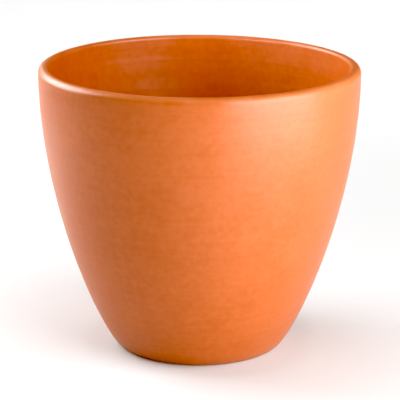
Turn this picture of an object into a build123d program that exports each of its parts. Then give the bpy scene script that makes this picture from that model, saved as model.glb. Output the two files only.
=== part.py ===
"""Plain terracotta plant pot with an egg-shaped wall, a rounded lip and a drain hole.

The pot is one piece of fired clay, so it is one solid, turned round the Z axis.
Millimetres, +Z up. The origin is on the axis, in the plane that the pot stands on.
"""

import os
from math import radians, tan

from build123d import *

# Overall sizes, outside
HEIGHT = 180.0
RIM_DIAMETER = 200.0
STANDING_DIAMETER = 100.0  # of the flat that touches the ground

# Clay thickness
RIM_WALL = 6.5
FLOOR = 9.0

# Lip: two rounded edges with a narrow flat land between them
LIP_INNER_ROUND = 2.0
LIP_LAND = 0.5

# Outside of the wall: a rounded foot, then a curve that ends upright at the lip
FOOT_ROUND = 5.0
FOOT_LEAN = 45.0  # degrees above the horizontal, where the rounded foot ends
FOOT_PULL = 15.0  # how far the curve holds its direction at the foot
RIM_PULL = 84.0  # the same at the lip, for the inside too

# Inside of the wall: a curve that leaves the floor level, so that they run into each other
FLOOR_EDGE = 10.0  # from the standing ring's outer edge in to where the flat floor ends
FLOOR_PULL = 18.0

# Underside: a flat ring to stand on, round a shallow recess
STANDING_RING = 11.0
RECESS_DEPTH = 1.6
RECESS_SLOPE = 30.0  # degrees above the horizontal

# Drain hole through the middle of the floor
DRAIN_DIAMETER = 22.0
DRAIN_ROUND = 1.2

UP = Vector(0, 1)
OUTWARD = Vector(1, 0)

rim_radius = RIM_DIAMETER / 2
standing_radius = STANDING_DIAMETER / 2
lip_outer_round = RIM_WALL - LIP_LAND - LIP_INNER_ROUND
recess_radius = standing_radius - STANDING_RING
recess_top_radius = recess_radius - RECESS_DEPTH / tan(radians(RECESS_SLOPE))

with BuildPart() as pot:
    with BuildSketch(Plane.XZ):
        with BuildLine():
            foot = JernArc((standing_radius, 0), OUTWARD, FOOT_ROUND, FOOT_LEAN)
            lip_outside = JernArc((rim_radius, HEIGHT - lip_outer_round), UP, lip_outer_round, 90)
            land = Line(lip_outside @ 1, lip_outside @ 1 - LIP_LAND * OUTWARD)
            lip_inside = JernArc(land @ 1, -OUTWARD, LIP_INNER_ROUND, 90)
            floor_edge = Vector(standing_radius - FLOOR_EDGE, FLOOR)
            Bezier(
                foot @ 1,
                foot @ 1 + FOOT_PULL * (foot % 1),
                lip_outside @ 0 - RIM_PULL * UP,
                lip_outside @ 0,
            )
            Bezier(
                floor_edge,
                floor_edge + FLOOR_PULL * OUTWARD,
                lip_inside @ 1 - RIM_PULL * UP,
                lip_inside @ 1,
            )
            Polyline(
                floor_edge,
                (0, FLOOR),
                (0, RECESS_DEPTH),
                (recess_top_radius, RECESS_DEPTH),
                (recess_radius, 0),
                foot @ 0,
            )
        make_face()
    revolve(axis=Axis.Z)

    Hole(DRAIN_DIAMETER / 2)
    drain_wall = pot.faces().filter_by(GeomType.CYLINDER)
    fillet(drain_wall.edges().filter_by(GeomType.CIRCLE), DRAIN_ROUND)

pot.part.label = "pot"

os.makedirs("parts", exist_ok=True)
export_step(pot.part, "parts/pot.step")
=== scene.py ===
"""A terracotta plant pot in plain unglazed clay, standing on a pale studio floor.

The pot is one closed skin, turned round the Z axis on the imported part's own section. It keeps the
faint ridges that the shaping blade leaves, a mouth that dried a little out of round, and a drain
hole that was wiped by hand. Metres, +Z up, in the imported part's frame.
"""

import math

import bpy
import numpy as np
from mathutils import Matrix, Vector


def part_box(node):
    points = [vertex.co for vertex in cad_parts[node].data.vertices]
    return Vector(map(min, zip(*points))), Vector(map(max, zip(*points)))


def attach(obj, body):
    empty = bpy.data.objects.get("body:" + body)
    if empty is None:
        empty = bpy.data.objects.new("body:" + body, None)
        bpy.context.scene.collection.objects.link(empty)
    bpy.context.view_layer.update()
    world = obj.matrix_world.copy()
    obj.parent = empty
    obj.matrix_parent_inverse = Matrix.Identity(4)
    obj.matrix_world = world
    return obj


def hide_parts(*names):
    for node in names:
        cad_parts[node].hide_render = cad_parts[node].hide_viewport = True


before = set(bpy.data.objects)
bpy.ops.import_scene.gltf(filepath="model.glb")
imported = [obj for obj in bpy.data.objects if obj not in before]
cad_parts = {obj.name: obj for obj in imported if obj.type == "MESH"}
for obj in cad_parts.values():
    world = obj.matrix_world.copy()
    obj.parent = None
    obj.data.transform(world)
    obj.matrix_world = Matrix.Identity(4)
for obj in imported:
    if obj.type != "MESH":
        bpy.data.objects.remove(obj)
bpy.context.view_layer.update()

MM = 0.001
_, top_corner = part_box("pot")
HEIGHT = top_corner.z
RIM_RADIUS = top_corner.x

# The section, with the part's own sizes
RIM_WALL = 6.5 * MM
FLOOR = 9.0 * MM
STANDING_RADIUS = 50.0 * MM
LIP_INNER_ROUND = 2.0 * MM
LIP_LAND = 0.5 * MM
LIP_OUTER_ROUND = RIM_WALL - LIP_LAND - LIP_INNER_ROUND
FOOT_ROUND = 5.0 * MM
FOOT_LEAN = math.radians(45)
FOOT_PULL = 15.0 * MM
RIM_PULL = 84.0 * MM
FLOOR_EDGE_RADIUS = 40.0 * MM
FLOOR_PULL = 18.0 * MM
RECESS_RADIUS = 39.0 * MM
RECESS_DEPTH = 1.6 * MM
RECESS_SLOPE = math.radians(30)
DRAIN_RADIUS = 11.0 * MM
DRAIN_ROUND = 1.2 * MM

# What the making and the firing left
COLUMNS = 180  # faces round the pot
RIDGE_WIDTHS = 12  # how many, from the narrowest to the widest
NARROWEST_RIDGE = 3.4 * MM
WIDEST_RIDGE = 19 * MM
RIDGE_SLOPE = 0.0007  # a ridge's height as a share of its width
RIDGE_DRIFT = 0.9  # how far it wanders as it goes round, in radians of its wave
RIDGE_FADE = 0.35  # how far it fades and swells as it goes round
INSIDE_RIDGES = 1.8  # how much stronger they are inside, where the blade chatters
FLOOR_RIDGES = 0.5  # and on the floor
OVAL = 0.25 * MM  # how far the mouth is out of round
SETTLE = 0.12 * MM  # uneven rise and fall of the lip
RAGGED_DRAIN = 0.35 * MM
BLADE_MARK_HEIGHT = 62 * MM  # one deeper line, across the front
BLADE_MARK_DEPTH = 0.03 * MM
BLADE_MARK_WIDTH = 1.1 * MM
BLADE_MARK_WANDER = 0.5 * MM

# Colours, linear
DEEP_CLAY = (0.436, 0.095, 0.025, 1)
PALE_CLAY = (0.498, 0.122, 0.041, 1)
# Rubbed-edge dust, which on the lip is also a painted highlight
DUST_AND_LIP_HIGHLIGHT = (0.640, 0.240, 0.110, 1)
# Dark sand specks; also the painted shade in the pits
DARK_SPECK_AND_PIT_SHADE = (0.200, 0.050, 0.020, 1)
FLOOR_WHITE = (0.65, 0.65, 0.65, 1)
FLOOR_SHADE = (0.63, 0.63, 0.63, 1)

# The studio
FLOOR_REACH = 6.0  # from the pot to the board's edges
ROOM_LIGHT = 0.13
PANEL_HEIGHT = 2.5
PANEL_LENGTH = 4.56  # away from the pot
PANEL_GAP = 0.49  # from the pot's axis to a panel's near edge
PANEL_SPREAD = 30  # degrees
BLACK_LEVEL = (0.02, 0.046, 0.066)  # red, green, blue
LENS = 164.4  # mm, on a 36 mm sensor
EYE_DISTANCE = 11.133 * RIM_RADIUS
EYE_HEIGHT = 4.0996 * RIM_RADIUS
EYE_DOWN = 0.27819  # radians below level
EYE_ROLL = -0.0028
EYE_TURN = 0.0004


# ---------------------------------------------------------------- the section


def line(start, end, steps):
    """Points from start up to, and not with, end. A point is (radius, height)."""
    share = np.arange(steps)[:, None] / steps
    return np.array(start) * (1 - share) + np.array(end) * share


def arc(centre, radius, start, end, steps):
    """Points round a centre from one angle to another, both in degrees, without the last."""
    angle = np.radians(start + (end - start) * np.arange(steps) / steps)
    return np.array(centre) + radius * np.stack([np.cos(angle), np.sin(angle)], 1)


def curve(start, start_pull, end_pull, end, steps):
    """Evenly spaced points along the smooth curve that two pulls shape, without the last."""
    fine_steps = 2000
    share = np.linspace(0, 1, fine_steps)[:, None]
    rest = 1 - share
    fine = (
        rest**3 * np.array(start)
        + 3 * rest**2 * share * np.array(start_pull)
        + 3 * rest * share**2 * np.array(end_pull)
        + share**3 * np.array(end)
    )
    length = np.concatenate([[0], np.cumsum(np.linalg.norm(np.diff(fine, axis=0), axis=1))])
    wanted = length[-1] * np.arange(steps) / steps
    return np.stack([np.interp(wanted, length, fine[:, i]) for i in range(2)], 1)


def pot_section():
    """The section as a closed loop of stretches, (name, points).

    It starts half way up the drain hole and runs out over the floor, up the inside, over the lip,
    down the outside and back under the foot.
    """
    inner_radius = RIM_RADIUS - RIM_WALL
    inner_top = HEIGHT - LIP_INNER_ROUND
    outer_top = HEIGHT - LIP_OUTER_ROUND
    land_radius = RIM_RADIUS - LIP_OUTER_ROUND
    drain_edge = DRAIN_RADIUS + DRAIN_ROUND
    drain_middle = (DRAIN_RADIUS, (FLOOR + RECESS_DEPTH) / 2)
    drain_top = FLOOR - DRAIN_ROUND
    drain_bottom = RECESS_DEPTH + DRAIN_ROUND
    recess_top_radius = RECESS_RADIUS - RECESS_DEPTH / math.tan(RECESS_SLOPE)
    lip_inner_centre = (inner_radius + LIP_INNER_ROUND, inner_top)
    foot_side = math.degrees(FOOT_LEAN) - 90
    foot_radius = STANDING_RADIUS + FOOT_ROUND * math.sin(FOOT_LEAN)
    foot_height = FOOT_ROUND * (1 - math.cos(FOOT_LEAN))
    inside = curve(
        (FLOOR_EDGE_RADIUS, FLOOR),
        (FLOOR_EDGE_RADIUS + FLOOR_PULL, FLOOR),
        (inner_radius, inner_top - RIM_PULL),
        (inner_radius, inner_top),
        steps=215,
    )
    foot_pull_radius = foot_radius + FOOT_PULL * math.cos(FOOT_LEAN)
    foot_pull_height = foot_height + FOOT_PULL * math.sin(FOOT_LEAN)
    outside = curve(
        (RIM_RADIUS, outer_top),
        (RIM_RADIUS, outer_top - RIM_PULL),
        (foot_pull_radius, foot_pull_height),
        (foot_radius, foot_height),
        steps=225,
    )
    return [
        ("drain", line(drain_middle, (DRAIN_RADIUS, drain_top), 3)),
        ("drain", arc((drain_edge, drain_top), DRAIN_ROUND, 180, 90, 4)),
        ("floor", line((drain_edge, FLOOR), (FLOOR_EDGE_RADIUS, FLOOR), 22)),
        ("inside", inside),
        ("lip", arc(lip_inner_centre, LIP_INNER_ROUND, 180, 90, 6)),
        ("lip", line((land_radius - LIP_LAND, HEIGHT), (land_radius, HEIGHT), 1)),
        ("lip", arc((land_radius, outer_top), LIP_OUTER_ROUND, 90, 0, 10)),
        ("outside", outside),
        ("foot", arc((STANDING_RADIUS, FOOT_ROUND), FOOT_ROUND, foot_side, -90, 6)),
        ("ring", line((STANDING_RADIUS, 0), (RECESS_RADIUS, 0), 6)),
        ("recess", line((RECESS_RADIUS, 0), (recess_top_radius, RECESS_DEPTH), 3)),
        ("recess", line((recess_top_radius, RECESS_DEPTH), (drain_edge, RECESS_DEPTH), 12)),
        ("drain", arc((drain_edge, drain_bottom), DRAIN_ROUND, -90, -180, 4)),
        ("drain", line((DRAIN_RADIUS, drain_bottom), drain_middle, 3)),
    ]


def smoothed(rows, reach):
    """A value for each row of the loop, averaged with its neighbours up to reach rows away."""
    return np.mean([np.roll(rows, step) for step in range(-reach, reach + 1)], axis=0)


# ---------------------------------------------------------------- the turned skin


def ridges(turned, around, rng):
    """Height of the shaping blade's ridges: rings of many widths that drift and fade a little as
    they go round. turned is the distance along the section, around the angle."""
    height = np.zeros((len(turned), len(around)))
    for width in np.geomspace(NARROWEST_RIDGE, WIDEST_RIDGE, RIDGE_WIDTHS):
        phase, drift_phase, fade_phase = rng.uniform(0, math.tau, 3)
        drift = RIDGE_DRIFT * np.sin(around + drift_phase)
        fade = 1 - RIDGE_FADE + RIDGE_FADE * np.sin(2 * around + fade_phase)
        wave = np.sin(math.tau * turned[:, None] / width + phase + drift)
        height += RIDGE_SLOPE * width * fade * wave
    return height


def blade_mark(height, around):
    """Depth of one scored line, strongest at the front (-Y) and gone at the sides."""
    wander = BLADE_MARK_WANDER * np.sin(2 * around + 0.7)
    across = (height[:, None] - BLADE_MARK_HEIGHT - wander) / BLADE_MARK_WIDTH
    reach = np.clip(-np.sin(around + 0.15), 0, 1) ** 3
    return BLADE_MARK_DEPTH * np.exp(-(across**2)) * reach


def turn_pot():
    """The pot's mesh, with the distance along the section and the rubbed edges as attributes. The
    rubbed edges also carry the painted highlight on the lip.
    """
    stretches = pot_section()
    section = np.vstack([points for _, points in stretches])
    stretch = np.concatenate([[name] * len(points) for name, points in stretches])
    rows = len(section)
    steps = np.linalg.norm(np.roll(section, -1, 0) - section, axis=1)
    turned = np.concatenate([[0], np.cumsum(steps)])
    around = np.linspace(0, math.tau, COLUMNS, endpoint=False)

    tangent = np.roll(section, -1, 0) - np.roll(section, 1, 0)
    normal = np.stack([-tangent[:, 1], tangent[:, 0]], 1)
    normal /= np.linalg.norm(normal, axis=1)[:, None]

    rng = np.random.default_rng(31)
    outside = stretch == "outside"
    ridged = outside + INSIDE_RIDGES * (stretch == "inside") + FLOOR_RIDGES * (stretch == "floor")
    ridged = smoothed(ridged, reach=5)
    ridged[stretch == "ring"] = 0
    relief = ridges(turned[:-1], around, rng) * ridged[:, None]
    relief -= blade_mark(section[:, 1], around) * outside[:, None]
    radius = section[:, :1] + relief * normal[:, :1]
    height = section[:, 1:] + relief * normal[:, 1:]

    share = (section[:, 1:] / HEIGHT) ** 2
    radius = radius + OVAL * share * np.cos(2 * (around - 0.6))
    radius = radius + 0.4 * OVAL * share * np.cos(3 * around + 1)
    height = height - SETTLE * share**4 * (1 + np.sin(2 * around + 0.4))
    drain = smoothed((stretch == "drain").astype(float), reach=2)[:, None]
    wipe = np.sin(3 * around + 1.1)
    wipe += 0.6 * np.sin(7 * around + 4)
    wipe += 0.4 * np.sin(13 * around + 2)
    radius = radius + RAGGED_DRAIN / 2 * drain * wipe

    places = np.stack([radius * np.cos(around), radius * np.sin(around), height], 2)
    # The lip and foot, for rubbed-edge dust that on the lip is also a painted highlight
    rubbed_edge_and_lip_highlight = smoothed(np.isin(stretch, ["lip", "foot"]).astype(float), reach=4)

    row, column = np.meshgrid(np.arange(rows), np.arange(COLUMNS), indexing="ij")
    next_row = (row + 1) % rows
    next_column = (column + 1) % COLUMNS
    corners = [(row, column), (next_row, column), (next_row, next_column), (row, next_column)]
    faces = np.stack([r * COLUMNS + c for r, c in corners], 2).reshape(-1, 4)

    mesh = bpy.data.meshes.new("terracotta_pot")
    mesh.from_pydata(places.reshape(-1, 3), [], faces.tolist())
    mesh.polygons.foreach_set("use_smooth", np.ones(len(faces), bool))
    for name, values in (("turned", turned[:-1]), ("rubbed_edge_and_lip_highlight", rubbed_edge_and_lip_highlight)):
        attribute = mesh.attributes.new(name, "FLOAT", "POINT")
        attribute.data.foreach_set("value", np.repeat(values, COLUMNS).astype(np.float32))
    chart = mesh.uv_layers.new(name="OFBake")
    steps_to_corners = [(0, 0), (1, 0), (1, 1), (0, 1)]
    unrolled = [
        ((column + along) / COLUMNS, turned[row + down] / turned[-1])
        for down, along in steps_to_corners
    ]
    uv = np.stack([np.stack(corner, 2) for corner in unrolled], 2)
    chart.uv.foreach_set("vector", uv.astype(np.float32).ravel())
    mesh.update()

    pot = bpy.data.objects.new("terracotta_pot", mesh)
    bpy.context.scene.collection.objects.link(pot)
    return pot


# ---------------------------------------------------------------- materials


class Amount:
    """A number that varies over a surface: a node's output that Python arithmetic builds on."""

    def __init__(self, recipe, socket):
        self.recipe = recipe
        self.socket = socket

    def beside(self, output):
        """Another output of the same node."""
        return Amount(self.recipe, self.socket.node.outputs[output])

    def maths(self, operation, first, second):
        return self.recipe.node("ShaderNodeMath", {"operation": operation}, {0: first, 1: second})

    def __add__(self, other):
        return self.maths("ADD", self, other)

    def __radd__(self, other):
        return self.maths("ADD", other, self)

    def __sub__(self, other):
        return self.maths("SUBTRACT", self, other)

    def __mul__(self, other):
        return self.maths("MULTIPLY", self, other)

    def __rmul__(self, other):
        return self.maths("MULTIPLY", other, self)

    def __lt__(self, other):
        return self.maths("LESS_THAN", self, other)

    def __gt__(self, other):
        return self.maths("GREATER_THAN", self, other)


class Recipe:
    """One material's nodes."""

    def __init__(self, name):
        self.material = bpy.data.materials.new(name)
        self.material.use_nodes = True
        self.tree = self.material.node_tree
        self.tree.nodes.clear()

    def node(self, kind, settings=None, inputs=None, output=0):
        """Adds a node: its settings first, then each input's value or link. Returns one output."""
        made = self.tree.nodes.new(kind)
        for name, value in (settings or {}).items():
            setattr(made, name, value)
        for name, value in (inputs or {}).items():
            if isinstance(value, Amount):
                self.tree.links.new(value.socket, made.inputs[name])
            else:
                made.inputs[name].default_value = value
        return Amount(self, made.outputs[output]) if made.outputs else None

    def noise(self, place, size, detail, roughness=0.5):
        """Soft noise from 0 to 1, whose patches are about size metres wide."""
        inputs = {"Vector": place, "Scale": 1 / size, "Detail": detail, "Roughness": roughness}
        return self.node("ShaderNodeTexNoise", None, inputs, "Fac")

    def grains(self, place, size):
        """Scattered grains size metres apart: distance to the nearest one's middle, in sizes, and a
        number from 0 to 1 that belongs to it."""
        inputs = {"Vector": place, "Scale": 1 / size}
        distance = self.node("ShaderNodeTexVoronoi", None, inputs, "Distance")
        number = self.node("ShaderNodeSeparateColor", None, {"Color": distance.beside("Color")})
        return distance, number

    def between(self, value, start, end):
        """How far value has come from start to end, from 0 to 1, with soft ends."""
        settings = {"interpolation_type": "SMOOTHSTEP"}
        inputs = {"Value": value, "From Min": start, "From Max": end}
        return self.node("ShaderNodeMapRange", settings, inputs)

    def blend(self, share, first, second):
        """The colour first where share is 0, second where it is 1. The node keeps its colours at
        inputs 6 and 7 and output 2."""
        settings = {"data_type": "RGBA", "clamp_factor": True}
        return self.node("ShaderNodeMix", settings, {0: share, 6: first, 7: second}, 2)

    def finished(self, **inputs):
        """The material, with a shader that has these inputs."""
        named = {name.replace("_", " "): value for name, value in inputs.items()}
        shader = self.node("ShaderNodeBsdfPrincipled", None, named)
        self.node("ShaderNodeOutputMaterial", None, {"Surface": shader})
        return self.material


def fired_clay():
    """Porous orange clay: firing blush, rings, mottling, sand grains, pits and rubbed edges. The
    rubbed edges' pale dust is partly a painted highlight on the lip, and the pits are darkened with
    painted shade.
    """
    clay = Recipe("fired_clay")
    place = clay.node("ShaderNodeTexCoord", output="Object")
    rubbed_edge_and_lip_highlight = clay.node("ShaderNodeAttribute", {"attribute_name": "rubbed_edge_and_lip_highlight"}, output="Fac")
    turned = clay.node("ShaderNodeAttribute", {"attribute_name": "turned"}, output="Fac")
    x = clay.node("ShaderNodeSeparateXYZ", None, {"Vector": place}, "X")
    y = x.beside("Y")
    # A place that moves along the section but hardly round the pot, so that noise on it makes rings
    round_share = 0.03
    ring_place = {"X": x * round_share, "Y": y * round_share, "Z": turned}
    on_rings = clay.node("ShaderNodeCombineXYZ", None, ring_place)

    blush = clay.noise(place, 75 * MM, detail=3)
    clouds = clay.noise(place, 17 * MM, detail=4, roughness=0.6)
    mottle = clay.noise(place, 4 * MM, detail=3, roughness=0.6)
    grain = clay.noise(place, 0.6 * MM, detail=2)
    rings = clay.noise(on_rings, 2.2 * MM, detail=3, roughness=0.6)

    sand, sand_number = clay.grains(place, 1.5 * MM)
    speck = clay.between(sand, 0.34, 0.22)
    pale_speck = speck * (sand_number > 0.86)
    dark_speck = speck * (sand_number < 0.1)
    hollow, hollow_number = clay.grains(place, 8 * MM)
    pit = clay.between(hollow, 0.075, 0.03) * (hollow_number > 0.72)

    paleness = 0.24 * blush + 0.22 * clouds + 0.36 * mottle + 0.18 * rings
    colour = clay.blend(clay.between(paleness, 0.36, 0.64), DEEP_CLAY, PALE_CLAY)
    # Pale dust on the rubbed lip and foot; on the lip it is also a painted highlight
    dust_and_lip_highlight = clay.between(rubbed_edge_and_lip_highlight * (0.5 + clouds), 0.35, 1.1) * 0.28
    colour = clay.blend(dust_and_lip_highlight + pale_speck * 0.1, colour, DUST_AND_LIP_HIGHLIGHT)
    # Dark sand specks, and painted shade darkening the pits
    colour = clay.blend(dark_speck * 0.1 + pit * 0.35, colour, DARK_SPECK_AND_PIT_SHADE)

    relief = 0.036 * grain + 0.036 * mottle + 0.038 * rings - 0.2 * pit
    inputs = {"Strength": 1.0, "Distance": MM, "Height": relief}
    bump = clay.node("ShaderNodeBump", None, inputs, "Normal")
    return clay.finished(
        Base_Color=colour,
        Roughness=0.26 + 0.14 * clouds + 0.1 * mottle,
        Normal=bump,
        IOR=1.55,
    )


def pale_board():
    """White painted board, lightly mottled."""
    paint = Recipe("pale_board")
    place = paint.node("ShaderNodeTexCoord", output="Object")
    brushed = paint.noise(place, 300 * MM, detail=2)
    return paint.finished(Base_Color=paint.blend(brushed, FLOOR_SHADE, FLOOR_WHITE), Roughness=0.9)


# ---------------------------------------------------------------- the studio


def studio_floor():
    """A wide board in the plane that the pot stands on."""
    mesh = bpy.data.meshes.new("studio_floor")
    turns = [(-1, -1), (1, -1), (1, 1), (-1, 1)]
    corners = [(x * FLOOR_REACH, y * FLOOR_REACH, 0) for x, y in turns]
    mesh.from_pydata(corners, [], [(0, 1, 2, 3)])
    mesh.materials.append(pale_board())
    floor = bpy.data.objects.new("studio_floor", mesh)
    bpy.context.scene.collection.objects.link(floor)
    return floor


def softbox(name, azimuth, distance, height, tilt, size, power, spread=180):
    """A soft light on a stand. Azimuth 0 is the camera's side, 90 the right. It faces the pot's
    axis from distance away, tilted down by tilt degrees: 90 faces the floor. A grid in front
    narrows its spread."""
    turn = math.radians(azimuth)
    light = bpy.data.lights.new(name, "AREA")
    light.shape = "RECTANGLE"
    light.size, light.size_y = size
    light.energy = power
    light.spread = math.radians(spread)
    lamp = bpy.data.objects.new(name, light)
    lamp.location = (distance * math.sin(turn), -distance * math.cos(turn), height)
    lamp.rotation_euler = (math.radians(90 - tilt), 0, turn)
    lamp.visible_camera = False
    bpy.context.scene.collection.objects.link(lamp)


def overhead_panel(name, azimuth, width, power):
    """A wide panel with a grid, high over the floor on one side, that stops short of the pot."""
    distance = PANEL_GAP + PANEL_LENGTH / 2
    size = (width, PANEL_LENGTH)
    softbox(name, azimuth, distance, PANEL_HEIGHT, 90, size, power, PANEL_SPREAD)


def white_room(strength):
    """Even light from all round."""
    world = bpy.data.worlds.new("white_room")
    world.use_nodes = True
    background = world.node_tree.nodes["Background"]
    background.inputs["Color"].default_value = (1, 1, 1, 1)
    background.inputs["Strength"].default_value = strength
    bpy.context.scene.world = world


def warm_print():
    """How the light becomes a picture: plainly, with slightly deep, warm shadows."""
    view = bpy.context.scene.view_settings
    view.view_transform = "Standard"
    view.use_curve_mapping = True
    view.curve_mapping.black_level = BLACK_LEVEL
    view.curve_mapping.update()


def camera():
    """A long lens from the front, a little above the rim and looking down into the mouth."""
    lens = bpy.data.cameras.new("camera")
    lens.sensor_width = 36
    lens.lens = LENS
    eye = bpy.data.objects.new("camera", lens)
    eye.location = (0, -EYE_DISTANCE, EYE_HEIGHT)
    eye.rotation_euler = (math.pi / 2 - EYE_DOWN, EYE_ROLL, EYE_TURN)
    bpy.context.scene.collection.objects.link(eye)
    bpy.context.scene.camera = eye


pot = turn_pot()
pot.data.materials.append(fired_clay())
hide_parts("pot")
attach(pot, "root")
studio_floor()

camera()
white_room(ROOM_LIGHT)
# azimuth, distance, height, tilt, size, power
softbox("right_front_softbox", 52, 0.50, 0.30, 9, (0.60, 0.58), 7.3)
softbox("left_softbox", -110, 0.52, 0.40, 24, (0.45, 0.40), 5.1)
softbox("left_back_softbox", -140, 0.70, 0.50, 30, (0.40, 0.30), 1.5)
softbox("mouth_card", -85, 0.055, 0.205, -35, (0.05, 0.04), 0.17)
# azimuth, width, power
overhead_panel("back_panel", 180, 10.0, 200)
overhead_panel("front_panel", 0, 10.0, 197)
overhead_panel("right_panel", 90, 1.0, 20)
overhead_panel("left_panel", -90, 1.0, 20)
warm_print()
